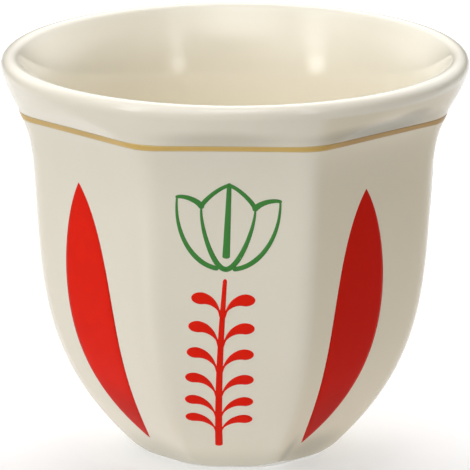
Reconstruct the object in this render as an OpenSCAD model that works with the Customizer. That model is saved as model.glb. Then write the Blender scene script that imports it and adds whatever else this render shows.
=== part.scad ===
// A small handleless coffee cup of glazed porcelain. The body is octagonal, the flared lip and the
// foot are round. A gold line runs below the flare. Four facets carry a tulip over a leafy sprig,
// and the four between them carry a tall leaf.
// Millimetres, +Z up, origin under the middle of the foot. The front facet looks along -Y.

/* [Outside] */
// Overall height, from the foot's sole to the crown of the lip
cup_h = 56.3; // [48:0.1:66]
// Outer diameter of the round lip
rim_d = 65; // [60:0.5:72]
// Width across the flats at the waist
waist_w = 54.8; // [50:0.2:58]
// Height of the waist, where the belly ends and the flare begins
waist_h = 41; // [36:0.5:44]
// Diameter of the foot where it meets the table
foot_d = 25; // [22:0.5:30]
// Radius that rounds the eight upright corners, from the belly up
corner_r = 4.5; // [3:0.5:8]
// Radius that rounds the same corners down at the foot
corner_foot_r = 2; // [1:0.5:6]
// Height at which the corners reach their full radius
corner_full_h = 18; // [8:0.5:30]
// Height over which the round foot turns into an octagon
foot_fade_h = 1.7; // [1:0.1:4]
// Height below the crown at which the facets start to fade into the round lip
lip_fade_h = 7.6; // [5:0.2:9]

/* [Wall] */
// Thickness of the rounded lip, glaze and all
lip_t = 2.9; // [2.2:0.1:3.6]
// Thickness of the wall at the waist, glaze and all
wall_t = 2.7; // [2.2:0.1:3.4]
// Thickness of the floor above the table, glaze and all
floor_t = 4.6; // [3.5:0.1:6]
// Thickness of the fired glaze
glaze_t = 0.2; // [0.12:0.02:0.3]

/* [Foot] */
// Inner diameter of the foot ring
foot_bore_d = 19.6; // [15:0.2:20]
// Depth of the recess inside the foot ring
recess_h = 1.2; // [0.8:0.1:2]
// Height of bare porcelain that shows under the glaze
bare_h = 0.25; // [0.15:0.05:0.6]

/* [Gold line] */
// Drop of the gold line's middle below the crown of the lip
gold_drop = 6.45; // [5.8:0.05:11]
// Width of the gold line
gold_w = 0.92; // [0.4:0.02:1.2]
// Thickness of the gold line
gold_t = 0.05; // [0.04:0.01:0.12]

/* [Enamel motifs] */
// Thickness of the red and green enamel
enamel_t = 0.08; // [0.05:0.01:0.15]
// Radius of the inner corners where the tulip's lines meet
tulip_run_r = 0.1; // [0.04:0.02:0.2]
// Radius of the inner corners where the sprig's leaves meet the stem
sprig_run_r = 0.2; // [0.04:0.02:0.3]
// Drop of the tulip's point below the middle of the gold line
tulip_drop = 5.45; // [3:0.05:8]
// Height of the tulip itself
tulip_h = 12; // [10:0.1:14]
// Width of the tulip between the tips of its side petals
tulip_w = 14; // [11:0.1:16]
// Width of the tulip's line at its point
tulip_line_w = 0.5; // [0.36:0.02:0.7]
// Gap between the tulip's foot and the sprig's upper end
sprig_gap = 1.4; // [0.6:0.1:3]
// Height of the sprig's lower end
sprig_foot_h = 4.4; // [3.5:0.1:8]
// Width of the stem at its lower end
stem_w = 1.05; // [0.7:0.05:1.4]
// Bow of the stem to the left, at its middle
stem_bow = 0.25; // [0:0.05:0.6]
// Reach of the third pair of sprig leaves from the middle of the stem
sprig_reach = 4.6; // [3.5:0.05:5.5]
// Width of the uppermost sprig leaves
sprig_leaf_w = 1.76; // [1:0.02:1.9]
// Turn of the tulip and sprig about the tulip's point, in degrees
motif_lean = 2.5; // [-4:0.1:4]
// Drop of the tall leaf's upper tip below the middle of the gold line
leaf_drop = 7.65; // [5:0.05:10]
// Height of the tall leaf's lower tip
leaf_foot_h = 3.95; // [3.2:0.05:8]
// Greatest width of the tall leaf
leaf_w = 9; // [6:0.1:11]
// Distance of the tall leaf's middle from the middle of its facet
leaf_shift = -1.35; // [-2:0.05:2]
// Sideways lean of the tall leaf's lower tip towards the tulip facet beside it
leaf_lean = 1.35; // [0:0.05:2]
// Sideways lean of the upper tip away from it, on the leaves that stand to the left of a tulip
leaf_tip_lean = 0.7; // [0:0.05:1.5]

/* [Hidden] */

// The octagon, and the directions of its facets, turned from +X
FACETS = 8;
FACET_TURN = 360 / FACETS;
RIGHT_TURN = 0;
BACK_TURN = 90;
LEFT_TURN = 180;
FRONT_TURN = 270;
HALF_TURN = 180;
corner_share = 1 / cos(FACET_TURN / 2) - 1;

// Radii that follow from the sizes above
rim_r = rim_d / 2;
lip_r = lip_t / 2;
lip_ring_r = rim_r - lip_r;
lip_ring_h = cup_h - lip_r;
waist_r = waist_w / 2;
foot_r = foot_d / 2;
foot_bore_r = foot_bore_d / 2;
gold_h = cup_h - gold_drop;
tulip_top_h = gold_h - tulip_drop;
sprig_top_h = tulip_top_h - tulip_h - sprig_gap;
leaf_top_h = gold_h - leaf_drop;
reach = rim_r + lip_t;
overrun = lip_t;

// Shapes of the curves, as shares of the sizes that they span
belly_low_share = [0.925, 0.336];
belly_high_share = [0.935, 0.571];
flare_low_share = 0.835;
flare_high_share = 0.315;
outer_join_turn = 20;
inner_join_turn = 40;
well_low_share = 0.7;
well_high_share = 0.36;
well_waist_share = 0.93;
well_flare_low_share = 0.7;
well_flare_high_share = 0.27;
// How far the flats run past the round parts, so that the two cross cleanly
cross_share = 0.3;

// Steps along the curves
BELLY_STEPS = 14;
FLARE_STEPS = 10;
LIP_STEPS = 8;
WELL_STEPS = 12;
STROKE_STEPS = 8;
LEAF_STEPS = 12;
CAP_STEPS = 6;
TURN_STEPS = 96;
RUN_STEPS = 12;

// A cubic curve through p[0] and p[3], drawn towards p[1] and p[2], at the place t
function cubic(p, t) = let (u = 1 - t)
    u * u * u * p[0] + 3 * u * u * t * p[1] + 3 * u * t * t * p[2] + t * t * t * p[3];

// Points of a cubic curve at even steps
function curve(p, steps) = [for (i = [0:steps]) cubic(p, i / steps)];

// Points of a cubic curve that lie halfway between the ones above
function curve_between(p, steps) = [for (i = [1:steps]) cubic(p, (i - 1 / 2) / steps)];

// The same two with points that are closer together at the curve's start
function slow_start(t) = t * sqrt(t);
function slow_curve(p, steps) = [for (i = [0:steps]) cubic(p, slow_start(i / steps))];
function slow_curve_between(p, steps) =
    [for (i = [1:steps]) cubic(p, slow_start((i - 1 / 2) / steps))];

// A list of points without its first one
function rest(list) = [for (i = [1:len(list) - 1]) list[i]];

// The same points from last to first
function reversed(list) = [for (i = [len(list) - 1:-1:0]) list[i]];

// A smooth step from 0 at low to 1 at high
function smooth(x, low, high) = let (t = min(max((x - low) / (high - low), 0), 1))
    t * t * (3 - 2 * t);

// Point on the lip's round edge, at an angle above the horizontal, pointing outwards at 0
function lip_point(turn, skin) =
    [lip_ring_r + (lip_r - skin) * cos(turn), lip_ring_h + (lip_r - skin) * sin(turn)];

// Middle line of a facet, from the foot up to the lip: distance from the axis and height
waist_point = [waist_r, waist_h];
belly_low = [foot_r + (waist_r - foot_r) * belly_low_share[0], waist_h * belly_low_share[1]];
belly_high = [foot_r + (waist_r - foot_r) * belly_high_share[0], waist_h * belly_high_share[1]];
belly_end_way = (waist_point - belly_high) / norm(waist_point - belly_high);
flare_end = lip_point(-outer_join_turn, 0);
flare_span = flare_end[1] - waist_h;
flare_end_way = [sin(outer_join_turn), cos(outer_join_turn)];
belly = [[foot_r, 0], belly_low, belly_high, waist_point];
flare = [waist_point, waist_point + belly_end_way * flare_span * flare_low_share,
    flare_end - flare_end_way * flare_span * flare_high_share, flare_end];
facet_line = concat(slow_curve(belly, BELLY_STEPS), rest(curve(flare, FLARE_STEPS)));
// The same line with its steps at other heights, so that no edge of a flat ends on a corner's edge
facet_line_between = concat(
    [belly[0]], slow_curve_between(belly, BELLY_STEPS),
    curve_between(flare, FLARE_STEPS), [flare_end]);

// How round the section is at a height: 0 is an octagon and 1 is a circle
function roundness(h) =
    smooth(h, cup_h - lip_fade_h, flare_end[1]) + 1 - smooth(h, 0, foot_fade_h);

// Radius of the rounded corners at a height
function corner_radius(h) = corner_foot_r + (corner_r - corner_foot_r) * smooth(h, 0, corner_full_h);

// How far a corner stands out beyond the facets at a place of the facet line
function corner_out(p) = corner_share * (p[0] - corner_radius(p[1]));

// The line that the rounded corners follow, thinner by skin
function corner_line(skin) =
    [for (p = facet_line) [p[0] + corner_out(p) * (1 - roundness(p[1])) - skin, p[1]]];

// The line that the flats follow, thinner by skin; it leaves the form where the section is round
function flat_line(skin) =
    [for (p = facet_line_between)
        [p[0] + corner_out(p) * cross_share * roundness(p[1]) - skin, p[1]]];

// Inside of the cup, from the lip down to the middle of the floor
well_top = lip_point(HALF_TURN - inner_join_turn, 0);
well_waist = [waist_r - wall_t, waist_h * well_waist_share];
well_span = well_top[1] - well_waist[1];
well_end_way = [sin(inner_join_turn), cos(inner_join_turn)];
function well_line(skin) = [for (p = concat(
    reversed(curve([well_waist, well_waist + [0, well_span * well_flare_low_share],
        well_top - well_end_way * well_span * well_flare_high_share, well_top], FLARE_STEPS)),
    rest(reversed(curve([[0, floor_t], [well_waist[0] * well_low_share, floor_t],
        [well_waist[0], floor_t + (well_waist[1] - floor_t) * well_high_share], well_waist],
        WELL_STEPS)))))
    [p[0] + (p[0] > 0 ? skin * smooth(p[1], floor_t, floor_t + wall_t) : 0),
     p[1] - skin * (1 - smooth(p[1], floor_t, floor_t + wall_t))]];

// The lip's round edge over the top, from outside to inside
function lip_line(skin) = [for (i = [0:LIP_STEPS])
    lip_point(-outer_join_turn + (HALF_TURN - inner_join_turn + outer_join_turn) * i / LIP_STEPS,
        skin)];

// Half of the wall's cross-section, thinner by skin on every side but the sole
function wall_section(skin) = concat(
    [[0, recess_h + skin], [foot_bore_r - recess_h / 2 + skin, recess_h + skin],
        [foot_bore_r + skin, 0]],
    [for (p = corner_line(skin)) if (p[1] < lip_point(-outer_join_turn, skin)[1]) p],
    lip_line(skin),
    rest(well_line(skin)));

// Four bars whose flat sides cut the eight facets
module facet_bars(skin) {
    side = flat_line(skin);
    top = side[len(side) - 1];
    half = concat([[side[0][0], -overrun]], side, [[reach, top[1]], [reach, cup_h + overrun]]);
    mirrored = [for (p = reversed(half)) [-p[0], p[1]]];
    intersection_for (k = [0:FACETS / 2 - 1]) {
        rotate([0, 0, FACET_TURN * k])
            rotate([90, 0, 0])
                linear_extrude(height = 2 * reach, center = true)
                    polygon(concat(half, mirrored));
    }
}

// The cup with its well and recess, thinner by skin on every side
module blank(skin) {
    intersection() {
        rotate_extrude($fn = TURN_STEPS) polygon(wall_section(skin));
        facet_bars(skin);
    }
}

// The cup's outer form alone, without well or recess, grown by skin
module outer_form(skin) {
    side = corner_line(-skin);
    top = side[len(side) - 1];
    intersection() {
        rotate_extrude($fn = TURN_STEPS) polygon(concat([[0, 0]], side, [[0, top[1]]]));
        facet_bars(-skin);
    }
}

// A thin sheet that lies on the facet towards +X
module facet_sheet(thickness) {
    inner = [for (p = flat_line(0)) if (p[1] > 0 && p[1] < gold_h) p];
    outer = [for (p = inner) p + [thickness, 0]];
    rotate([90, 0, 0])
        linear_extrude(height = waist_w, center = true)
            polygon(concat(inner, reversed(outer)));
}

// A flat drawing, across and up, laid as enamel on the facet at a turn from +X
module on_facet(turn) {
    rotate([0, 0, turn]) {
        intersection() {
            facet_sheet(enamel_t);
            rotate([90, 0, 90]) linear_extrude(height = reach) children();
        }
    }
}

// Direction square to a path at its point i, to the left
function side_way(path, i) = let (
    a = path[max(i - 1, 0)],
    b = path[min(i + 1, len(path) - 1)],
    way = (b - a) / norm(b - a))
    [-way[1], way[0]];

// End of a stroke at a point: half an ellipse that starts at the side from_side, as long as
// long_share says of its radius
function cap(centre, from_side, radius, long_share) = [for (i = [1:CAP_STEPS - 1])
    let (turn = HALF_TURN * i / CAP_STEPS, forwards = [from_side[1], -from_side[0]])
    centre + radius * (cos(turn) * from_side + long_share * sin(turn) * forwards)];

// A stroke along a path, as wide as widths says at each point. A cap share of 1 makes a round end
module stroke(path, widths, cap_shares = [1, 1]) {
    last = len(path) - 1;
    left = [for (i = [0:last]) path[i] + side_way(path, i) * widths[i] / 2];
    right = [for (i = [0:last]) path[i] - side_way(path, i) * widths[i] / 2];
    polygon(concat(
        left, cap(path[last], side_way(path, last), widths[last] / 2, cap_shares[1]),
        reversed(right), cap(path[0], -side_way(path, 0), widths[0] / 2, cap_shares[0])));
}

// Rounds the inner corners of a drawing, where wet enamel runs together
module run_together(run_r) {
    offset(r = -run_r, $fn = RUN_STEPS)
        offset(r = run_r, $fn = RUN_STEPS)
            children();
}

// Widths along a stroke, which pass evenly from each share of a width to the next
function spread(width, shares) = let (
    places = [for (k = [0:len(shares) - 1]) [k / (len(shares) - 1), shares[k]]])
    [for (i = [0:STROKE_STEPS]) width * lookup(i / STROKE_STEPS, places)];

// Tulip drawn around its point: a centre petal, two side petals and a bar. The shares give the
// places that its curves pass or are drawn towards, of its half width and of its height, and the
// widths of its lines, of the line at its point
tulip_half_w = tulip_w / 2;
shoulder_share = [0.524, 0.262];
tip_share = [1, 0.168];
end_share = [0.18, 0.992];
petal_top_shares = [[0.2, 0.04], [0.44, 0.175]];
petal_side_shares = [[0.54, 0.51], [0.243, 1]];
side_top_shares = [[0.66, 0.17], [0.93, 0.15]];
side_low_shares = [[1.044, 0.605], [0.633, 0.955]];
bar_share = 0.85;
petal_top_width_shares = [1.02, 1.36];
petal_side_width_shares = [0.5, 1.08, 1.46, 1.5];
side_top_width_shares = [1.7, 0.9];
side_low_width_shares = [0.54, 1.06, 1.38, 1.36];
bar_width_shares = [1.25, 2.05];
bar_cap_shares = [1, 0.5];
function tulip_at(share) = [tulip_half_w * share[0], -tulip_h * share[1]];
module tulip_line(from, shares, to, width_shares) {
    stroke(
        curve([from, tulip_at(shares[0]), tulip_at(shares[1]), to], STROKE_STEPS),
        spread(tulip_line_w, width_shares));
}
module half_tulip() {
    point = [0, 0];
    shoulder = tulip_at(shoulder_share);
    tip = tulip_at(tip_share);
    low = [0, -tulip_h];
    tulip_line(point, petal_top_shares, shoulder, petal_top_width_shares);
    tulip_line(shoulder, petal_side_shares, low, petal_side_width_shares);
    tulip_line(shoulder, side_top_shares, tip, side_top_width_shares);
    tulip_line(tip, side_low_shares, tulip_at(end_share), side_low_width_shares);
}

module tulip_drawing() {
    half_tulip();
    mirror([1, 0]) half_tulip();
    stroke([[0, 0], [0, -tulip_h * bar_share]], tulip_line_w * bar_width_shares, bar_cap_shares);
}

module tulip(turn) {
    color([0.27, 0.48, 0.28])
        on_facet(turn)
            translate([0, tulip_top_h])
                rotate(-motif_lean)
                    run_together(tulip_run_r) tulip_drawing();
}

// Sprig: a bowed, tapered stem with six pairs of leaves, drawn around its upper end. The shares give
// the stem's widths, and for each pair its place on the stem, its reach and its rise, of the reach
// of the third pair, and the path of a leaf from its outer end into the stem
stem_len = sprig_top_h - sprig_foot_h;
stem_width_shares = [0.55, 0.76, 0.85, 0.92, 1];
stem_cap_shares = [1.5, 0.5];
pair_shares = [0.173, 0.337, 0.488, 0.638, 0.77, 0.871];
reach_shares = [0.95, 0.985, 1, 1.022, 1.02, 1];
rise_shares = [0.36, 0.4, 0.424, 0.438, 0.424, 0.36];
last_leaf_share = 0.83;
leaf_path_shares = [[1, 1], [0.72, 0.985], [0.25, 0.745], [0, -0.8]];
leaf_cap_shares = [1.55, 1];
leaf_neck_share = 0.02;
leaf_taper_share = 1.2;
function stem_point(share) = [-4 * stem_bow * share * (1 - share), -stem_len * share];
module sprig_leaf(pair) {
    width = sprig_leaf_w * (1 + (last_leaf_share - 1) * pair / (len(pair_shares) - 1));
    out = sprig_reach * reach_shares[pair] - leaf_cap_shares[0] * width / 2;
    up = sprig_reach * rise_shares[pair];
    path = curve([for (share = leaf_path_shares) [out * share[0], up * share[1]]], STROKE_STEPS);
    widths = [for (i = [0:STROKE_STEPS])
        width * max(1 - leaf_taper_share * slow_start(i / STROKE_STEPS), leaf_neck_share)];
    stroke(path, widths, leaf_cap_shares);
}

module sprig_drawing() {
    first = stem_cap_shares[0] * stem_width_shares[0] * stem_w / 2 / stem_len;
    last = 1 - stem_cap_shares[1] * stem_w / 2 / stem_len;
    path = [for (i = [0:STROKE_STEPS]) stem_point(first + (last - first) * i / STROKE_STEPS)];
    stroke(path, spread(stem_w, stem_width_shares), stem_cap_shares);
    for (pair = [0:len(pair_shares) - 1]) {
        translate(stem_point(pair_shares[pair])) {
            sprig_leaf(pair);
            mirror([1, 0]) sprig_leaf(pair);
        }
    }
}

module sprig(turn) {
    color([0.84, 0.13, 0.1])
        on_facet(turn)
            translate([0, tulip_top_h])
                rotate(-motif_lean)
                    translate([0, sprig_top_h - tulip_top_h])
                        run_together(sprig_run_r) sprig_drawing();
}

// Tall leaf: two bowed edges that meet in pointed tips; side is 1 or -1, the way that it leans
leaf_bow_share = 2 / 3;
leaf_shoulder_share = 0.215;
leaf_hip_share = 0.76;
module leaf_drawing(side) {
    tall = leaf_top_h - leaf_foot_h;
    high = leaf_top_h - tall * leaf_shoulder_share;
    low = leaf_top_h - tall * leaf_hip_share;
    bow = leaf_w * leaf_bow_share;
    upper_tip = [side > 0 ? -leaf_tip_lean : 0, leaf_top_h];
    lower_tip = [leaf_lean * side, leaf_foot_h];
    translate([leaf_shift, 0])
        polygon(concat(
            curve([upper_tip, [-bow, high], [-bow, low], lower_tip], LEAF_STEPS),
            rest(reversed(rest(curve([upper_tip, [bow, high], [bow, low], lower_tip], LEAF_STEPS))))));
}

module tall_leaf(turn, side) {
    color([0.8, 0.12, 0.09])
        on_facet(turn)
            leaf_drawing(side);
}

// White porcelain under the glaze; it shows only as the bare sole of the foot ring
module porcelain_body() {
    color([0.93, 0.92, 0.88])
        blank(glaze_t);
}

// Ivory glaze over the whole cup, wiped off the sole
module glaze_coat() {
    color([0.87, 0.84, 0.76])
        difference() {
            blank(0);
            blank(glaze_t);
            translate([0, 0, -overrun]) cylinder(h = overrun + bare_h, r = reach, $fn = TURN_STEPS);
        }
}

// Thin gold line around the octagon, below the flare
module gold_line() {
    color([0.75, 0.6, 0.32])
        difference() {
            intersection() {
                outer_form(gold_t);
                translate([0, 0, gold_h - gold_w / 2])
                    cylinder(h = gold_w, r = reach, $fn = TURN_STEPS);
            }
            outer_form(0);
        }
}

porcelain_body();
glaze_coat();
gold_line();
tulip(FRONT_TURN);  // tulip_front
tulip(RIGHT_TURN);  // tulip_right
tulip(BACK_TURN);  // tulip_back
tulip(LEFT_TURN);  // tulip_left
sprig(FRONT_TURN);  // sprig_front
sprig(RIGHT_TURN);  // sprig_right
sprig(BACK_TURN);  // sprig_back
sprig(LEFT_TURN);  // sprig_left
tall_leaf(FRONT_TURN + FACET_TURN, -1);  // leaf_front_right
tall_leaf(BACK_TURN - FACET_TURN, 1);  // leaf_back_right
tall_leaf(BACK_TURN + FACET_TURN, -1);  // leaf_back_left
tall_leaf(FRONT_TURN - FACET_TURN, 1);  // leaf_front_left
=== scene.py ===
"""A small faceted coffee cup of ivory porcelain, on a pale floor in soft studio light.

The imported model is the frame. Each of its pieces gets a finer surface in the same place, worked out
in millimetres and put into its mesh in metres.
"""
import math

import bpy
import numpy as np
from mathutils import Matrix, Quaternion, Vector


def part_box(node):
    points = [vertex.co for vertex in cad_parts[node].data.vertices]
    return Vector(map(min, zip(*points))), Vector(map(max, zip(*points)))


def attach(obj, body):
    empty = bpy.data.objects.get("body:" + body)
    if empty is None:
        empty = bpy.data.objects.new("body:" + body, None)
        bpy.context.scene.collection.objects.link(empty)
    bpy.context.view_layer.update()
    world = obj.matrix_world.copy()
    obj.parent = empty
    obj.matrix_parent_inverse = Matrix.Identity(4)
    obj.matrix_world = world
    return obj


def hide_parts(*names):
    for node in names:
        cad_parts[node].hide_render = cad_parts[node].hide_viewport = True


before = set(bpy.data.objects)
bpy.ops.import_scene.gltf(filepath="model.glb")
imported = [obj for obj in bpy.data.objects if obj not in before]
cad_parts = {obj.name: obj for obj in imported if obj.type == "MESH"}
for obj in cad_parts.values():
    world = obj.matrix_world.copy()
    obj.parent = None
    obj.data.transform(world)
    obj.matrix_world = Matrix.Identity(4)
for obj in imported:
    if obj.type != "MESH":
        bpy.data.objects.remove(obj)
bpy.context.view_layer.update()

# Sizes in millimetres; the overall ones come from the frame
MM = 0.001
CUP_HIGH = np.array(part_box("glaze_coat")[1]) / MM
CUP_H, RIM_R = float(CUP_HIGH[2]), float(CUP_HIGH[0])
WAIST_R, WAIST_H = 27.4, 41.0
FOOT_R = 12.5
CORNER_R, CORNER_FOOT_R, CORNER_FULL_H = 4.5, 2.0, 18.0
FOOT_FADE_H, FOOT_ROUND = 1.7, 0.55
LIP_FADE_H = 7.6
LIP_R = 1.45
LIP_RING_R, LIP_RING_H = RIM_R - LIP_R, CUP_H - LIP_R
OUTER_JOIN, INNER_JOIN = math.radians(-20), math.radians(140)
WELL_R, WELL_WAIST_H = 24.7, 38.1
FLOOR_H = 4.6
GLAZE_T = 0.2
RECESS_R, RECESS_H, RECESS_IN = 9.8, 1.2, 0.6
SOLE_ROUND = 0.2

# The bare strip of the foot under the glaze: its least height, where and how far it rises, and the
# height above which the glaze is level again
BARE_H, BARE_RISE, BARE_LEVEL_H = 0.16, 0.55, 2.5
BARE_TURN, BARE_SPREAD = math.radians(298), math.radians(7.5)

# Painted light and shade on the glaze. Each pair is where a smooth step begins and ends: in heights
# for the band of painted shade at the foot and the corner's painted highlight, in turns for the
# right side's painted shade. The band leans by SHADE_BAND_LEAN radians per millimetre.
SHADE_BAND_SPREAD, SHADE_BAND_LEAN, SHADE_BAND_FROM, SHADE_BAND_TO = math.radians(2.6), 0.006, (0.3, 1.2), (3.0, 7.0)
HIGHLIGHT_TURN, HIGHLIGHT_SPREAD = math.radians(246.8), math.radians(1.6)
HIGHLIGHT_FROM, HIGHLIGHT_TO = (10.0, 22.0), (32.0, 46.0)
SHADED_FLANK_FROM, SHADED_FLANK_TO = (math.radians(-69), math.radians(-69) + 0.1), (0.3, 1.2)
FAR_FROM_EDGE = 9.0
# Painted shade patches: middle, reach to the sides, reach up and down, and share of greyer shade
SHADE_PATCHES = [((-0.5, -30.4, 51.2), 13.0, 2.1, 0.38), ((21.0, -22.0, 51.0), 16.0, 2.1, 1.0),
            ((25.4, -19.4, 52.2), 5.0, 1.3, 0.6), ((11.2, -10.8, 2.0), 8.0, 4.5, 0.62),
            ((-10.3, -10.3, 1.0), 9.0, 6.0, 0.3)]
# Painted shade towards the foot, painted highlight on the lip's crown, painted shade line at the
# glaze's edge
FOOT_SHADE_H, CROWN_HIGHLIGHT_H, EDGE_SHADE_W = (4.5, 0.5), (54.6, 56.0), (0.2, 0.05)

GOLD_H, GOLD_W, GOLD_T = 49.85, 0.92, 0.05
# How far the line wanders up and down, and by what share its width swells, slowly and fast
GOLD_WANDER, GOLD_SWELL = (0.03, 0.02), (0.07, 0.04)
# The line and the enamel are deeper in colour to the right, a painted shade, and the line a little
# to the left too
GOLD_SHADE_RIGHT, GOLD_LEFT, ENAMEL_SHADE_RIGHT = (9.0, 17.0), (-12.0, -20.0), (5.0, 15.0)

ENAMEL_T, ENAMEL_SUNK = 0.08, 0.04
TULIP_TOP_H, TULIP_H, TULIP_HALF_W, TULIP_LINE_W = 44.4, 12.0, 7.0, 0.5
SPRIG_TOP_H, SPRIG_FOOT_H, STEM_W, STEM_BOW = 31.0, 4.4, 1.05, 0.25
SPRIG_REACH, SPRIG_LEAF_W = 4.6, 1.76
MOTIF_LEAN = math.radians(-2.5)
LEAF_TOP_H, LEAF_FOOT_H, LEAF_W = 42.2, 3.95, 9.0
LEAF_SHIFT, LEAF_LEAN, LEAF_TIP_LEAN = -1.35, 1.35, 0.7
# Painted shade in the leaves' lowest part: heights of its step, and its share
LEAF_SHADE_H, LEAF_LOW_SHADE = (15.0, 8.0), 0.45

FACETS = 8
FACET_TURN = 2 * math.pi / FACETS
HALF_FACET = FACET_TURN / 2
RIGHT, BACK, LEFT, FRONT = 0, 2, 4, 6

# How fine the surfaces are: points over one facet's turn, points along the cup's lines, and powers
# that crowd these towards the foot and towards the well's wall
PER_FACET, GOLD_PER_FACET = 32, 48
OUTSIDE_STEPS, LIP_STEPS, WELL_FLARE_STEPS, BOWL_STEPS = 56, 25, 24, 36
FOOT_CROWDING, BOWL_CROWDING = 1.4, 0.85

# The floor and the places where it glows: middle, where the glow starts, where it is full,
# strength, all in metres
FLOOR_R, FLOOR_CORNERS = 3.0, 96
POOLS = [((0, 0.2, 0), 0.26, 0.18, 0.5), ((-0.01, -0.028, 0), 0.055, 0.012, 0.29),
         ((0, 0, 0), 0.024, 0.013, 0.45)]

# The lights: name, azimuth and elevation in degrees, distance, width and height in metres, power,
# roll
LIGHTS = [("key", -45, 40, 1.3, 2.4, 2.0, 18.8, 0), ("back_left", 210, 42, 1.3, 2.6, 2.0, 26.5, 0),
          ("back_right", 150, 42, 1.3, 2.6, 2.0, 33.5, 0),
          ("side_left", -90, 62, 1.3, 0.9, 0.9, 4.1, 0),
          ("front_high", 0, 66, 1.3, 1.2, 1.2, 10.4, 0), ("top", 10, 84, 1.3, 1.4, 1.4, 8.2, 0),
          ("strip_left", -55.5, 40, 1.2, 0.42, 1.9, 5.9, 14),
          ("strip_left_low", -52.5, 17, 1.2, 0.4, 0.6, 3.0, 8),
          ("strip_right", 42, 40, 1.2, 0.3, 1.9, 3.3, -14),
          ("strip_right_low", 39, 17, 1.2, 0.34, 0.6, 1.8, -8)]
WORLD_GLOW = 0.035

# The camera: azimuth and elevation in degrees, distance in metres, the height that it looks at, and
# its focal length and picture width in pixels
CAMERA_TURN, CAMERA_RISE, CAMERA_AWAY, CAMERA_AIM_H = 1.6, 14.755, 1.0069, 30.16
FOCAL_PX, PICTURE_PX, SENSOR_MM = 7223.2, 470, 36


def arc_of_four(points, share):
    """Cubic curve through the first and last of four points, drawn towards the two between:
    the points weighted by (1-t)^3, 3(1-t)^2 t, 3(1-t) t^2 and t^3."""
    t = np.asarray(share, float)[:, None]
    p = np.asarray(points, float)
    return ((1 - t) ** 3 * p[0] + 3 * (1 - t) ** 2 * t * p[1] + 3 * (1 - t) * t ** 2 * p[2]
            + t ** 3 * p[3])


def smooth(x, low, high):
    """Smooth step: 0 below low, 1 above high, 3t^2 - 2t^3 between."""
    t = np.clip((np.asarray(x, float) - low) / (high - low), 0, 1)
    return t * t * (3 - 2 * t)


def between(x, rise, fall):
    """Smooth step from 0 to 1 over the pair rise, and back to 0 over the pair fall."""
    return smooth(x, *rise) * (1 - smooth(x, *fall))


def bell(turns, middle, spread):
    """Bell shape round the cup: e to the power of minus the square of (turn - middle) / spread."""
    return np.exp(-((turns - middle) / spread) ** 2)


def lip_point(turn):
    """Point on the lip's round edge, a circle of LIP_R about the lip's ring, at an angle above the
    horizontal, 0 pointing outwards."""
    turn = np.asarray(turn, float)
    return np.stack([LIP_RING_R + LIP_R * np.cos(turn), LIP_RING_H + LIP_R * np.sin(turn)], -1)


# The facet's line, of a belly and a flare, and the well's line, of a flare and a bowl
WAIST = np.array([WAIST_R, WAIST_H])
BELLY_SPAN = WAIST_R - FOOT_R
BELLY = [(FOOT_R, 0.0), (FOOT_R + BELLY_SPAN * 0.925, WAIST_H * 0.336),
         (FOOT_R + BELLY_SPAN * 0.935, WAIST_H * 0.571), tuple(WAIST)]
BELLY_WAY = (WAIST - BELLY[2]) / np.linalg.norm(WAIST - BELLY[2])
FLARE_END = lip_point(OUTER_JOIN)
FLARE_SPAN = FLARE_END[1] - WAIST_H
FLARE_WAY = np.array([-math.sin(OUTER_JOIN), math.cos(OUTER_JOIN)])
FLARE = [WAIST, WAIST + BELLY_WAY * FLARE_SPAN * 0.835, FLARE_END - FLARE_WAY * FLARE_SPAN * 0.315,
         FLARE_END]
WELL_WAIST = np.array([WELL_R, WELL_WAIST_H])
WELL_TOP = lip_point(INNER_JOIN)
WELL_SPAN = WELL_TOP[1] - WELL_WAIST_H
WELL_WAY = np.array([math.sin(INNER_JOIN), -math.cos(INNER_JOIN)])
WELL_FLARE = [WELL_WAIST, WELL_WAIST + [0, WELL_SPAN * 0.7], WELL_TOP - WELL_WAY * WELL_SPAN * 0.27,
              WELL_TOP]
WELL_BOWL = [(0.0, FLOOR_H), (WELL_R * 0.7, FLOOR_H),
             (WELL_R, FLOOR_H + (WELL_WAIST_H - FLOOR_H) * 0.36), WELL_WAIST]


def outer_line(steps):
    """Middle line of a facet, from the sole's edge to where the lip's round edge takes over: the
    belly's cubic curve and then the flare's."""
    belly = arc_of_four(BELLY, np.linspace(0, 1, steps) ** FOOT_CROWDING)
    flare = arc_of_four(FLARE, np.linspace(0, 1, steps // 2 + 1))
    return np.concatenate([belly, flare[1:]])


FINE_LINE = outer_line(400)


def apothem(height):
    """Distance of a facet's middle from the axis at a height, read off the facet's line."""
    return np.interp(height, FINE_LINE[:, 1], FINE_LINE[:, 0])


def roundness(height):
    """0 where the section is an octagon and 1 where it is a circle: a smooth step up to the lip,
    and a smooth step down from FOOT_ROUND over the lowest part of the foot."""
    lip = smooth(height, CUP_H - LIP_FADE_H, FLARE_END[1])
    return lip + FOOT_ROUND * (1 - smooth(height, 0, FOOT_FADE_H))


def corner_radius(flat_r, height, round_share):
    """Radius of the rounded corners: the corner's own, which steps down smoothly to the foot,
    growing in step with round_share to the whole section's."""
    own = CORNER_FOOT_R + (CORNER_R - CORNER_FOOT_R) * smooth(height, 0, CORNER_FULL_H)
    return flat_r - (flat_r - np.minimum(own, flat_r)) * (1 - round_share)


def reach(turn, flat_r, height, round_share):
    """Distance of the section's edge from the axis in a direction: a straight side at flat_r, and
    round each corner a circle that touches both sides."""
    off = np.abs((turn + HALF_FACET) % FACET_TURN - HALF_FACET)
    rho = corner_radius(flat_r, height, round_share)
    half_side = (flat_r - rho) * math.tan(HALF_FACET)
    centre_r = (flat_r - rho) / math.cos(HALF_FACET)
    delta = HALF_FACET - off
    square = np.maximum(rho ** 2 - (centre_r * np.sin(delta)) ** 2, 0)
    on_corner = centre_r * np.cos(delta) + np.sqrt(square)
    return np.where(np.tan(off) * flat_r <= half_side, flat_r / np.cos(off), on_corner)


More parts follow.
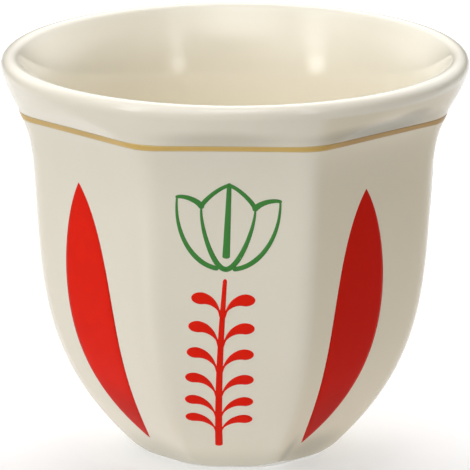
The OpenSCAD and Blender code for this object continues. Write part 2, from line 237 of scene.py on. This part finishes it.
def facet_turns(per_facet):
    """Directions round the cup, closer together at the corners than on the flats: over each facet
    1.3u - 0.3u^3, for u from -1 to 1."""
    u = np.linspace(-1, 1, per_facet, endpoint=False)
    u = 1.3 * u - 0.3 * u ** 3
    return (np.arange(FACETS)[:, None] * FACET_TURN + u[None] * HALF_FACET).ravel()


def carried(radius, height, turns, round_share):
    """Grid of points: each place of a line carried round the axis, along the section's edge."""
    r = reach(turns[None], radius, height, round_share)
    return np.stack([r * np.cos(turns), r * np.sin(turns), np.broadcast_to(height, r.shape)], -1)


def rings(line, turns, round_share):
    """The same for a line of distances and heights that is alike all round."""
    share = np.broadcast_to(np.asarray(round_share, float), len(line))
    return carried(line[:, :1], line[:, 1:], turns, share[:, None])


def grid_normals(grid):
    """Unit normals of a grid of rings: the cross product of the steps round and along it."""
    round_step = np.roll(grid, -1, 1) - np.roll(grid, 1, 1)
    along_step = np.gradient(grid, axis=0)
    normal = np.cross(round_step, along_step)
    return normal / np.maximum(np.linalg.norm(normal, axis=-1, keepdims=True), 1e-12)


def closed_skin(stack, first=None, last=None):
    """Vertices and faces of a closed skin over rings of equal length: quads between neighbours, and
    fans to the points first and last, or the last ring joined to the first where there are none."""
    count, around = stack.shape[:2]
    verts = stack.reshape(-1, 3)
    down = np.arange(count if first is None else count - 1)[:, None]
    here = np.arange(around)[None]
    beside, below = (here + 1) % around, (down + 1) % count
    faces = np.stack([down * around + here, below * around + here, below * around + beside,
                      down * around + beside], -1).reshape(-1, 4).tolist()
    if first is not None:
        verts = np.concatenate([verts, [first], [last]])
        tip, ring = count * around, np.arange(around)
        base = (count - 1) * around
        faces += np.stack([ring, (ring + 1) % around, np.full(around, tip)], -1).tolist()
        faces += np.stack([base + (ring + 1) % around, base + ring, np.full(around, tip + 1)],
                          -1).tolist()
    return verts, faces


def piece(name, shells, replaced, material, shades=None):
    """One object from closed skins in millimetres, standing for a node and riding on the cup.
    shades gives values per vertex that its material reads."""
    verts, faces, start = [], [], 0
    for shell_verts, shell_faces in shells:
        verts.append(shell_verts)
        faces += [[i + start for i in face] for face in shell_faces]
        start += len(shell_verts)
    mesh = bpy.data.meshes.new(name)
    mesh.from_pydata((np.concatenate(verts) * MM).tolist(), [], faces)
    mesh.polygons.foreach_set("use_smooth", np.ones(len(faces), bool))
    for key, values in (shades or {}).items():
        carrier = mesh.attributes.new(key, "FLOAT", "POINT")
        carrier.data.foreach_set("value", np.asarray(values, np.float32))
    mesh.materials.append(material)
    mesh.update()
    made = bpy.data.objects.new(name, mesh)
    bpy.context.scene.collection.objects.link(made)
    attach(made, "root")
    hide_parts(replaced)
    return made


class Wire:
    """A node's output. Python's operators on wires and numbers add Math nodes."""

    def __init__(self, board, socket):
        self.board, self.socket = board, socket

    def math(self, operation, *values):
        return self.board.node("ShaderNodeMath", {"operation": operation},
                               dict(enumerate(values)))["Value"]

    def __add__(self, other):
        return self.math("ADD", self, other)

    def __sub__(self, other):
        return self.math("SUBTRACT", self, other)

    def __rsub__(self, other):
        return self.math("SUBTRACT", other, self)

    def __mul__(self, other):
        return self.math("MULTIPLY", self, other)

    __radd__, __rmul__ = __add__, __mul__


class Outputs:
    """The outputs of one node, as wires."""

    def __init__(self, board, made):
        self.board, self.made = board, made

    def __getitem__(self, key):
        return Wire(self.board, self.made.outputs[key])


class Board:
    """A node board: of a new material, or of a light."""

    def __init__(self, tree):
        self.tree = tree
        self.tree.nodes.clear()

    def node(self, kind, settings=None, sockets=None):
        """Any node: its settings first, and then the values or wires of its sockets."""
        made = self.tree.nodes.new(kind)
        for key, value in (settings or {}).items():
            setattr(made, key, value)
        for key, value in (sockets or {}).items():
            if isinstance(value, Wire):
                self.tree.links.new(value.socket, made.inputs[key])
            else:
                made.inputs[key].default_value = value
        return Outputs(self, made)

    def step(self, value, low, high):
        """Smooth step of a wire, from 0 at low to 1 at high."""
        return self.node("ShaderNodeMapRange", {"interpolation_type": "SMOOTHSTEP"},
                         {"Value": value, "From Min": low, "From Max": high})["Result"]


class Finish(Board):
    """The node board of one material."""

    def __init__(self, name):
        self.material = bpy.data.materials.new(name)
        self.material.use_nodes = True
        super().__init__(self.material.node_tree)
        self.place = self.node("ShaderNodeTexCoord")["Object"]

    def noise(self, size, detail=2.0, rough=0.5, seed=0.0):
        """Soft noise, 0 to 1, whose lumps are about size millimetres across."""
        return self.node("ShaderNodeTexNoise", {"noise_dimensions": "4D"},
                         {"Vector": self.place, "W": seed, "Scale": 1 / (size * MM),
                          "Detail": detail, "Roughness": rough})["Fac"]

    def dots(self, spacing, radius, seed=0.0):
        """1 in small round dots, 0 between: distance to scattered points, which are spacing
        apart."""
        moved = self.node("ShaderNodeVectorMath", {"operation": "ADD"},
                          {0: self.place, 1: (seed, seed * 0.7, seed * 1.3)})["Vector"]
        near = self.node("ShaderNodeTexVoronoi", {"feature": "F1"},
                         {"Vector": moved, "Scale": 1 / (spacing * MM)})["Distance"]
        return self.step(near, radius / spacing, radius / spacing * 0.55)

    def patch(self, centre, wide, tall):
        """1 at a centre in millimetres, falling to 0 at wide to the sides and at tall up and
        down."""
        away = self.node("ShaderNodeVectorMath", {"operation": "SUBTRACT"},
                         {0: self.place, 1: [c * MM for c in centre]})["Vector"]
        scaled = self.node("ShaderNodeVectorMath", {"operation": "DIVIDE"},
                           {0: away, 1: (wide * MM, wide * MM, tall * MM)})["Vector"]
        length = self.node("ShaderNodeVectorMath", {"operation": "LENGTH"}, {0: scaled})["Value"]
        return self.step(length, 1, 0.2)

    def mix(self, share, a, b):
        """Colour a where share is 0 and b where it is 1."""
        return self.node("ShaderNodeMix", {"data_type": "RGBA"}, {0: share, 6: a, 7: b})[2]

    def shade(self, key):
        """A value that the mesh carries at its points."""
        return self.node("ShaderNodeAttribute", {"attribute_name": key})["Fac"]

    def along(self, axis):
        """Place along an axis of the cup in millimetres: X to the right, Z up from the sole."""
        return self.node("ShaderNodeSeparateXYZ", None, {0: self.place})[axis] * (1 / MM)

    def bump(self, relief, depth):
        """Normal of a relief from 0 to 1 that is depth millimetres deep."""
        return self.node("ShaderNodeBump", None,
                         {"Strength": 1.0, "Distance": depth * MM, "Height": relief})["Normal"]

    def surface(self, color, roughness, normal, **constants):
        """The finished material: what changes over the surface, and the values that don't."""
        made = self.node("ShaderNodeBsdfPrincipled", None,
                         {"Base Color": color, "Roughness": roughness, "Normal": normal,
                          **constants})
        self.node("ShaderNodeOutputMaterial", None, {"Surface": made["BSDF"]})
        return self.material


def rgb(red, green, blue):
    """Linear colour of a shade that is given as it looks on a screen, 0 to 255."""
    shade = np.array([red, green, blue]) / 255
    linear = np.where(shade <= 0.04045, shade / 12.92, ((shade + 0.055) / 1.055) ** 2.4)
    return (*linear.tolist(), 1.0)


def ivory_glaze():
    """Glossy ivory glaze: soft clouds of tint; painted shade that makes it warmer and darker over the
    right side, greyer towards the foot, in patches at the foot and in the hollow above the gold
    line, and along a leaning band at the foot; a painted highlight along one corner between facets
    and along the lip's crown; and a thin painted shade line at its lower edge. Faint specks and
    pinholes, and the slight waves of a surface that once ran."""
    b = Finish("ivory_glaze")
    height = b.along("Z")
    color = b.mix(b.noise(9, 3.0, seed=1.0), rgb(243, 236, 219), rgb(238, 231, 212))
    # Painted shade: greyer towards the foot
    color = b.mix(b.step(height, *FOOT_SHADE_H) * 0.6, color, rgb(208, 204, 186))
    # Painted shade: warmer and darker over the right side
    color = b.mix(b.shade("shaded_flank"), color, rgb(233, 221, 196))
    # Painted shade in patches under the lip's flare and at the foot
    for centre, wide, tall, strength in SHADE_PATCHES:
        share = b.patch(centre, wide, tall) * b.shade("outside") * strength
        color = b.mix(share, color, rgb(171, 164, 143))
    # Painted shade along a leaning band at the foot
    color = b.mix(b.shade("foot_shade_band") * 0.7, color, rgb(176, 171, 154))
    # Painted highlight along one corner between facets
    color = b.mix(b.shade("corner_highlight") * 0.3, color, rgb(253, 247, 233))
    # Painted highlight along the lip's crown
    color = b.mix(b.step(height, *CROWN_HIGHLIGHT_H) * 0.2, color, rgb(247, 245, 238))
    # Painted shade: a thin dark line along the glaze's lower edge
    color = b.mix(b.step(b.shade("edge"), *EDGE_SHADE_W) * 0.6, color, rgb(150, 145, 128))
    color = b.mix(b.dots(3.4, 0.05, seed=0.31) * 0.5, color, rgb(150, 138, 112))
    relief = b.noise(5.5, 1.0, seed=3.0) - b.dots(4.6, 0.07, seed=0.11) * 0.35
    return b.surface(color, b.noise(2.5, 2.0, seed=5.0) * 0.05 + 0.05, b.bump(relief, 0.012),
                     IOR=1.52)


def bare_porcelain():
    """Unglazed porcelain: nearly white, matt, with a fine grain of soft noise."""
    b = Finish("bare_porcelain")
    color = b.mix(b.noise(0.5, 4.0), rgb(250, 249, 245), rgb(240, 237, 229))
    return b.surface(color, b.noise(0.3, 2.0, seed=2.0) * 0.2 + 0.5,
                     b.bump(b.noise(0.12, 3.0, seed=4.0), 0.01), IOR=1.5)


def fired_gold():
    """Ochre gold line: thicker and darker in its middle, thin and light at its edges, browner by a
    painted shade to the right, and a little browner to the left too."""
    b = Finish("fired_gold")
    across = b.along("X")
    # Painted shade makes the line browner to the right; it is a little browner to the left too
    browner = b.step(across, *GOLD_SHADE_RIGHT) * 0.9 + b.step(across, *GOLD_LEFT) * 0.3
    body = b.mix(b.noise(4, 1.0, seed=2.0), rgb(226, 192, 112), rgb(214, 174, 88))
    color = b.mix(b.step(b.shade("edge"), 0.45, 1.0) * 0.7, body, rgb(229, 212, 170))
    color = b.mix(browner, color, rgb(170, 132, 66))
    return b.surface(color, b.noise(3, 1.0, seed=7.0) * 0.04 + 0.3,
                     b.bump(b.noise(2, 1.0, seed=9.0), 0.003), Metallic=0.15, IOR=1.4)


def deeper(color, share):
    """A colour with its red, green and blue taken down to a share of themselves."""
    return (*(share * value for value in color[:3]), 1.0)


def enamel(name, body, thick, thin):
    """Glossy enamel: body colour with faint clouds, made deeper by painted shade over the right side
    and in the lowest part of a motif, a thicker rim, and pinholes that show the glaze."""
    b = Finish(name)
    color = b.mix(b.noise(2.2, 3.0, seed=2.0), body, thick)
    # Painted shade: deeper over the right side
    color = b.mix(b.step(b.along("X"), *ENAMEL_SHADE_RIGHT) * 0.9, color, deeper(thick, 0.76))
    # Painted shade: deeper in the lowest part of a motif
    low_shade = b.step(b.along("Z"), *LEAF_SHADE_H) * b.shade("low_shade")
    color = b.mix(low_shade, color, deeper(thick, 0.5))
    color = b.mix(b.step(b.shade("edge"), 0.8, 1.0) * 0.5, color, thick)
    pinholes = b.dots(2.6, 0.085, seed=0.77)
    color = b.mix(pinholes * 0.8, color, thin)
    relief = b.noise(0.9, 2.0, seed=6.0) * 0.3 - pinholes * 0.7
    return b.surface(color, b.noise(1.0, 2.0, seed=8.0) * 0.08 + 0.1, b.bump(relief, 0.02),
                     IOR=1.1)


GLAZE = ivory_glaze()
PORCELAIN = bare_porcelain()
GOLD = fired_gold()
RED = enamel("red_enamel", rgb(243, 39, 21), rgb(230, 33, 18), rgb(238, 176, 150))
GREEN = enamel("green_enamel", rgb(80, 149, 72), rgb(66, 134, 64), rgb(180, 204, 170))

TURNS = facet_turns(PER_FACET)


def body_line():
    """Whole line of the cup from the sole's edge over the lip to the middle of the well, and how
    round the section is at each of its points."""
    outside = outer_line(OUTSIDE_STEPS)
    lip = lip_point(np.linspace(OUTER_JOIN, INNER_JOIN, LIP_STEPS))
    well_flare = arc_of_four(WELL_FLARE, np.linspace(1, 0, WELL_FLARE_STEPS))
    bowl = arc_of_four(WELL_BOWL, np.linspace(1, 0, BOWL_STEPS) ** BOWL_CROWDING)
    line = np.concatenate([outside, lip[1:], well_flare[1:], bowl[1:-1]])
    share = np.ones(len(line))
    share[:len(outside)] = roundness(outside[:, 1])
    return line, share


def bare_height(turns):
    """Height of the glaze's lower edge in each direction: level, with one soft bell-shaped rise."""
    return BARE_H + BARE_RISE * bell(turns, BARE_TURN, BARE_SPREAD)


def glaze_cover():
    """The glaze over the outside, the lip and the well. Its outer face follows the cup's line, with
    its lower end lifted to the edge of the bare strip. Its inner face lies one thickness under
    that, and at the bare foot the glaze begins as a quarter-round bead.

    With it come shades per point: edge is the height above that edge, or FAR_FROM_EDGE in the well.
    The others are 0 in the well: outside is 1, foot_shade_band is up to 1 along a band of painted
    shade above the bare strip's rise, corner_highlight is up to 1 along one corner's painted
    highlight, and shaded_flank is up to 1 where the right side is painted in shade."""
    line, share = body_line()
    first = int(np.searchsorted(line[:20, 1], BARE_H))
    line, share = line[first:], share[first:]
    edge = bare_height(TURNS)[None]
    climb = np.clip((BARE_LEVEL_H - line[:, 1:]) / (BARE_LEVEL_H - line[0, 1]), 0, 1)
    outside = (np.arange(len(line)) < len(line) // 2)[:, None]
    height = np.where(outside, line[:, 1:] + (edge - line[0, 1]) * climb, line[:, 1:])
    lifted = outside & (height < BARE_LEVEL_H)
    radius = np.where(lifted, apothem(height), line[:, :1])
    round_share = np.where(lifted, roundness(height), share[:, None])
    over = carried(radius, height, TURNS, round_share)
    normal = grid_normals(over)
    bead = np.where(outside, np.clip((height - edge) / GLAZE_T, 0, 1), 1.0)
    base = over - normal * GLAZE_T
    over = base + normal * (GLAZE_T * np.sqrt(1 - (1 - bead) ** 2))[..., None]
    centre = np.array([0, 0, FLOOR_H])
    skin = closed_skin(np.concatenate([over[::-1], base[1:]]), centre, centre - [0, 0, GLAZE_T])

    # Band of painted shade above the bare strip's rise, leaning as it climbs
    foot_shade_band = bell(TURNS - SHADE_BAND_LEAN * height, BARE_TURN, SHADE_BAND_SPREAD)
    # Painted highlight along one corner
    corner_highlight = bell(TURNS, HIGHLIGHT_TURN, HIGHLIGHT_SPREAD)
    # Share of painted shade over the right side
    from_front = (TURNS + math.pi) % (2 * math.pi) - math.pi
    shades = {"edge": np.where(outside, height - edge, FAR_FROM_EDGE),
              "outside": outside * np.ones(len(TURNS)),
              "foot_shade_band": outside * foot_shade_band * between(height, SHADE_BAND_FROM, SHADE_BAND_TO),
              "corner_highlight": outside * corner_highlight * between(height, HIGHLIGHT_FROM, HIGHLIGHT_TO),
              "shaded_flank": outside * between(from_front, SHADED_FLANK_FROM, SHADED_FLANK_TO)}
    return skin, {key: np.append(np.concatenate([part[::-1], part[1:]]), [part[-1, 0]] * 2)
                  for key, part in shades.items()}


def recess_line(inset):
    """Line of the recess in the foot, from its edge to near its middle: a coved wall and a flat."""
    top, wall = RECESS_H + inset, RECESS_R + inset
    cove = arc_of_four([(wall, 0), (wall - RECESS_IN * 0.6, top * 0.85),
                        (wall - RECESS_IN * 1.4, top), (wall - RECESS_IN * 4, top)],
                       np.linspace(0, 1, 14))
    flat = np.stack([np.linspace(cove[-1, 0], 0, 6)[1:-1], np.full(4, top)], -1)
    return np.concatenate([cove, flat])


def recess_cover():
    """The glaze inside the recess: its face, and one thickness above it, joined by a narrow rim at
    the height where the bare foot ends."""
    def glazed(line):
        start = [np.interp(BARE_H, *line[:6, ::-1].T), BARE_H]
        return np.concatenate([[start], line[line[:, 1] > BARE_H]])

    under, above = glazed(recess_line(0.0)), glazed(recess_line(GLAZE_T))
    stack = np.concatenate([rings(under[::-1], TURNS, 1), rings(above, TURNS, 1)])
    return closed_skin(stack, np.array([0, 0, RECESS_H]), np.array([0, 0, RECESS_H + GLAZE_T]))


def porcelain_skin():
    """The body under the glaze: the cup's line set in by the glaze's thickness, closed under the
    sole and through the recess. The sole's two edges are eased by quarter circles."""
    line, share = body_line()
    over = rings(line, TURNS, share)
    over = over - grid_normals(over) * GLAZE_T
    kept = line[:, 1] > SOLE_ROUND
    over, share = over[kept], share[kept]
    turn = np.linspace(0, math.pi / 2, 6)[:-1]
    out, up = SOLE_ROUND * (1 - np.sin(turn)), SOLE_ROUND * (1 - np.cos(turn))
    outer = np.stack([FOOT_R - GLAZE_T - out, up], -1)
    recess = recess_line(GLAZE_T)
    recess = recess[recess[:, 1] > SOLE_ROUND]
    inner = np.stack([RECESS_R + GLAZE_T + out, up], -1)[::-1]
    sole = np.concatenate([recess[::-1], inner, outer])
    sole_share = np.concatenate([np.ones(len(recess) + len(inner)),
                                 np.full(len(outer), FOOT_ROUND)])
    stack = np.concatenate([rings(sole, TURNS, sole_share), over])[::-1]
    return closed_skin(stack, np.array([0, 0, FLOOR_H - GLAZE_T]),
                       np.array([0, 0, RECESS_H + GLAZE_T]))


def gold_skin():
    """The gold line: a low dome, 1 - place^4 across its width, carried round the cup. Its middle
    and its edges wander a little, by sums of two sines, as a line drawn by brush does."""
    turns = facet_turns(GOLD_PER_FACET)
    slow, fast = GOLD_WANDER
    middle = slow * np.sin(2 * turns + 0.6) + fast * np.sin(7 * turns)
    slow, fast = GOLD_SWELL
    half = GOLD_W / 2 * (1 + slow * np.sin(2 * turns + 0.4) + fast * np.sin(5 * turns + 1.0))
    across = np.linspace(-1, 1, 9)
    lift = np.concatenate([GOLD_T * (1 - across ** 4), np.full(7, -ENAMEL_SUNK)])
    across = np.concatenate([across, across[-2:0:-1]])
    height = GOLD_H + middle[None] + half[None] * across[:, None]
    grid = carried(apothem(height) + lift[:, None], height, turns, roundness(height))
    return closed_skin(grid[::-1]), np.repeat(np.abs(across)[::-1], len(turns))


def on_facet(place, across, up, lift):
    """Points on a facet: across its middle line and up from the sole, lifted off the glaze. Past
    the flat's end the surface turns round the corner's circle."""
    flat_r = apothem(up)
    rho = corner_radius(flat_r, up, roundness(up))
    past = np.maximum(np.abs(across) - (flat_r - rho) * math.tan(HALF_FACET), 0)
    out = flat_r - rho + np.sqrt(np.maximum(rho ** 2 - past ** 2, 0)) + lift
    turn = place * FACET_TURN
    return np.stack([out * math.cos(turn) - across * math.sin(turn),
                     out * math.sin(turn) + across * math.cos(turn), up], -1)


def dome_section(points):
    """A loop across a stroke: place from -1 to 1, and lift: a top that is domed as 1 - |place|^5,
    and a level underside, sunk in the glaze."""
    side = np.linspace(-1, 1, points)
    top = ENAMEL_T * (1 - np.abs(side) ** 5)
    return (np.concatenate([side, side[-2:0:-1]]),
            np.concatenate([top, np.full(points - 2, -ENAMEL_SUNK)]))


def swung(points, about):
    """Points turned about a point by the motifs' lean, with the lean's cosine and sine."""
    p = np.asarray(points) - about
    cos, sin = math.cos(MOTIF_LEAN), math.sin(MOTIF_LEAN)
    x, y = p[..., 0], p[..., 1]
    return np.stack([x * cos - y * sin, x * sin + y * cos], -1) + about


def stroke(place, path, widths, caps=(1.0, 1.0)):
    """Enamel stroke: the domed section carried along a path as wide as widths says. Each end is
    half an ellipse, as long as its cap says of its radius, and the whole leans about the tulip's
    point."""
    path, widths = np.asarray(path, float), np.asarray(widths, float)
    way = np.gradient(path, axis=0)
    way /= np.linalg.norm(way, axis=1, keepdims=True)
    turn = np.linspace(math.pi / 2, 0, 8)[1:-1, None]
    first, last = caps[0] * widths[0] / 2, caps[1] * widths[-1] / 2
    line = np.concatenate([path[0] - way[0] * np.sin(turn) * first, path,
                           path[-1] + way[-1] * np.sin(turn[::-1]) * last])
    ways = np.concatenate([np.repeat(way[:1], len(turn), 0), way,
                           np.repeat(way[-1:], len(turn), 0)])
    wide = np.concatenate([widths[0] * np.cos(turn[:, 0]), widths,
                           widths[-1] * np.cos(turn[::-1, 0])])
    side, lift = dome_section(11)
    left = np.stack([-ways[:, 1], ways[:, 0]], -1)
    about = np.array([0.0, TULIP_TOP_H])
    flat = swung(line[:, None] + left[:, None] * (wide[:, None] / 2 * side)[..., None], about)
    stack = on_facet(place, flat[..., 0], flat[..., 1], np.broadcast_to(lift, flat.shape[:2]))
    ends = swung([path[0] - way[0] * first, path[-1] + way[-1] * last], about)
    tips = on_facet(place, ends[:, 0], ends[:, 1], 0.0)
    edge = np.concatenate([np.tile(np.abs(side), len(line)), [1, 1]])
    return closed_skin(stack, tips[0], tips[1]), edge


def spread(width, shares, count):
    """Widths along a stroke, which pass evenly from each share of a width to the next."""
    return width * np.interp(np.linspace(0, 1, count), np.linspace(0, 1, len(shares)), shares)


def tulip(place):
    """A centre petal, two side petals and a bar. The pairs of shares are places across and down
    from the tulip's point, of its half width and of its height; the lists after them are line
    widths."""
    def at(across, down):
        return np.array([TULIP_HALF_W * across, TULIP_TOP_H - TULIP_H * down])

    point, shoulder, tip, low = at(0, 0), at(0.524, 0.262), at(1, 0.168), at(0, 1)
    along = np.linspace(0, 1, 36)
    parts = []
    for points, shares in (
            ([point, at(0.2, 0.04), at(0.44, 0.175), shoulder], [1.02, 1.36]),
            ([shoulder, at(0.54, 0.51), at(0.243, 1), low], [0.5, 1.08, 1.46, 1.5]),
            ([shoulder, at(0.66, 0.17), at(0.93, 0.15), tip], [1.7, 0.9]),
            ([tip, at(1.044, 0.605), at(0.633, 0.955), at(0.18, 0.992)], [0.54, 1.06, 1.38, 1.36])):
        for side in (1, -1):
            parts.append(stroke(place, arc_of_four(points, along) * [side, 1],
                                spread(TULIP_LINE_W, shares, len(along))))
    bar = np.linspace(point, at(0, 0.85), 20)
    parts.append(stroke(place, bar, spread(TULIP_LINE_W, [1.25, 2.05], len(bar)), (1.0, 0.5)))
    return parts


def sprig(place):
    """A bowed, tapered stem with six pairs of leaves. Each leaf is a stroke that is widest at its
    outer end, thins towards the stem by 1 - 1.2 t^1.5, and spreads again where it runs into it."""
    length = SPRIG_TOP_H - SPRIG_FOOT_H

    def on_stem(share):
        share = np.asarray(share, float)
        return np.stack([-4 * STEM_BOW * share * (1 - share), SPRIG_TOP_H - length * share], -1)

    caps, shares = (1.5, 0.5), [0.55, 0.76, 0.85, 0.92, 1]
    first, last = caps[0] * shares[0] * STEM_W / 2 / length, 1 - caps[1] * STEM_W / 2 / length
    along = np.linspace(first, last, 48)
    parts = [stroke(place, on_stem(along), spread(STEM_W, shares, len(along)), caps)]
    t = np.linspace(0, 1, 30)
    leaf_cap = 1.55
    for pair, (down, reached, risen) in enumerate(zip(
            (0.173, 0.337, 0.488, 0.638, 0.77, 0.871), (0.95, 0.985, 1, 1.022, 1.02, 1),
            (0.36, 0.4, 0.424, 0.438, 0.424, 0.36))):
        width = SPRIG_LEAF_W * (1 - 0.17 * pair / 5)
        out, up = SPRIG_REACH * reached - leaf_cap * width / 2, SPRIG_REACH * risen
        leaf = arc_of_four([(out, up), (out * 0.72, up * 0.985), (out * 0.25, up * 0.745),
                            (0, -up * 0.8)], t)
        widths = width * (np.maximum(1 - 1.2 * t ** 1.5, 0.13) + 0.2 * smooth(t, 0.74, 0.95))
        for side in (1, -1):
            parts.append(stroke(place, on_stem(down) + leaf * [side, 1], widths, (leaf_cap, 1.0)))
    return parts


def tall_leaf(place, side):
    """Two bowed edges, each a cubic curve, that meet in pointed tips. The grid runs from tip to tip
    and from edge to edge."""
    tall = LEAF_TOP_H - LEAF_FOOT_H
    high, low = LEAF_TOP_H - tall * 0.215, LEAF_TOP_H - tall * 0.76
    bow = LEAF_W * 2 / 3
    upper = np.array([-LEAF_TIP_LEAN if side > 0 else 0, LEAF_TOP_H])
    lower = np.array([LEAF_LEAN * side, LEAF_FOOT_H])
    t = 0.5 - 0.5 * np.cos(np.linspace(0, math.pi, 92))[1:-1]
    left = arc_of_four([upper, (-bow, high), (-bow, low), lower], t)
    right = arc_of_four([upper, (bow, high), (bow, low), lower], t)
    across, lift = dome_section(25)
    flat = left[:, None] + (right - left)[:, None] * ((across + 1) / 2)[..., None] + [LEAF_SHIFT, 0]
    room = np.minimum(1, np.linalg.norm(right - left, axis=1) / 0.5)
    stack = on_facet(place, flat[..., 0], flat[..., 1],
                     np.where(lift > 0, lift * room[:, None], lift))
    tips = [on_facet(place, *(tip + [LEAF_SHIFT, 0]), 0.0) for tip in (upper, lower)]
    edge = np.concatenate([np.tile(np.abs(across), len(t)), [1.0, 1.0]])
    return [(closed_skin(stack, *tips), edge)]


cover, glaze_shades = glaze_cover()
recess = recess_cover()
piece("glaze", [cover, recess], "glaze_coat", GLAZE,
      {key: np.append(values, np.full(len(recess[0]), FAR_FROM_EDGE if key == "edge" else 0.0))
       for key, values in glaze_shades.items()})
piece("porcelain", [porcelain_skin()], "porcelain_body", PORCELAIN)
gold_shell, gold_edge = gold_skin()
piece("gold", [gold_shell], "gold_line", GOLD, {"edge": gold_edge})


def enamel_piece(node, parts, material, low_shade=0.0):
    """The strokes of one motif, as one object that stands for its node. Its lowest part is deeper by
    the share low_shade, a painted shade."""
    edge = np.concatenate([edge for _, edge in parts])
    piece(f"enamel_{node}", [shell for shell, _ in parts], node, material,
          {"edge": edge, "low_shade": np.full(len(edge), low_shade)})


for word, place in (("front", FRONT), ("right", RIGHT), ("back", BACK), ("left", LEFT)):
    enamel_piece(f"tulip_{word}", tulip(place), GREEN)
    enamel_piece(f"sprig_{word}", sprig(place), RED)
for word, place, side in (("front_right", FRONT + 1, -1), ("back_right", BACK - 1, 1),
                          ("back_left", BACK + 1, -1), ("front_left", FRONT - 1, 1)):
    enamel_piece(f"leaf_{word}", tall_leaf(place, side), RED, LEAF_LOW_SHADE)


def seen_from(azimuth, elevation):
    """Unit vector from the cup towards a place at an azimuth and elevation, in degrees."""
    a, e = math.radians(azimuth), math.radians(elevation)
    return Vector((math.sin(a) * math.cos(e), -math.cos(a) * math.cos(e), math.sin(e)))


def pale_floor():
    """A pale disc under the cup, wide enough that its edge is never seen. It glows a little, more
    in round pools behind the cup, under it and close round the foot, as a table lit from below
    does."""
    turns = np.linspace(0, 2 * math.pi, FLOOR_CORNERS, endpoint=False)
    ring = np.stack([FLOOR_R * np.cos(turns), FLOOR_R * np.sin(turns), 0 * turns], -1)
    mesh = bpy.data.meshes.new("floor")
    mesh.from_pydata(ring.tolist(), [], [list(range(FLOOR_CORNERS))])
    b = Finish("floor")
    color = b.mix(b.noise(400, 1.0), (0.6, 0.6, 0.6, 1), (0.58, 0.58, 0.58, 1))
    glow = (0.06, 0.06, 0.06, 1)
    for centre, far, near, strength in POOLS:
        away = b.node("ShaderNodeVectorMath", {"operation": "DISTANCE"},
                      {0: b.place, 1: centre})["Value"]
        glow = b.mix(b.step(away, far, near), glow, (strength, strength, strength, 1))
    mesh.materials.append(b.surface(color, 0.6, b.bump(b.noise(20, 1.0), 0.01),
                                    **{"Emission Color": glow, "Emission Strength": 1.0}))
    made = bpy.data.objects.new("floor", mesh)
    bpy.context.scene.collection.objects.link(made)


def soft_box(name, azimuth, elevation, distance, width, height, power, roll):
    """A rectangle of light that faces the cup, turned by roll degrees about the way it faces. Its
    brightness rises from nothing at its edges to its middle."""
    light = bpy.data.lights.new(name, "AREA")
    light.shape, light.size, light.size_y = "RECTANGLE", width, height
    light.energy = power
    light.use_nodes = True
    b = Board(light.node_tree)
    place = b.node("ShaderNodeSeparateXYZ", None,
                   {0: b.node("ShaderNodeNewGeometry")["Parametric"]})
    strength = 1.0
    for axis in ("X", "Y"):
        strength = b.step(place[axis], 0, 0.45) * b.step(place[axis], 1, 0.55) * strength
    glow = b.node("ShaderNodeEmission", None, {"Strength": strength})
    b.node("ShaderNodeOutputLight", None, {"Surface": glow["Emission"]})
    made = bpy.data.objects.new(name, light)
    way = seen_from(azimuth, elevation)
    made.location = Vector((0, 0, CUP_H * MM / 2)) + way * distance
    made.rotation_mode = "QUATERNION"
    rolled = Quaternion((0, 0, 1), math.radians(roll))
    made.rotation_quaternion = way.to_track_quat("Z", "Y") @ rolled
    bpy.context.scene.collection.objects.link(made)


pale_floor()
for light in LIGHTS:
    soft_box(*light)

scene = bpy.context.scene
world = bpy.data.worlds.new("studio")
scene.world = world
world.use_nodes = True
world.node_tree.nodes["Background"].inputs["Color"].default_value = (1, 1, 1, 1)
world.node_tree.nodes["Background"].inputs["Strength"].default_value = WORLD_GLOW
scene.view_settings.view_transform = "Standard"

camera = bpy.data.objects.new("camera", bpy.data.cameras.new("camera"))
scene.collection.objects.link(camera)
scene.camera = camera
way = seen_from(CAMERA_TURN, CAMERA_RISE)
camera.location = Vector((0, 0, CAMERA_AIM_H * MM)) + way * CAMERA_AWAY
camera.rotation_mode = "QUATERNION"
camera.rotation_quaternion = way.to_track_quat("Z", "Y")
camera.data.sensor_width = SENSOR_MM
camera.data.lens = FOCAL_PX * SENSOR_MM / PICTURE_PX
camera.data.clip_start, camera.data.clip_end = 0.05, 20
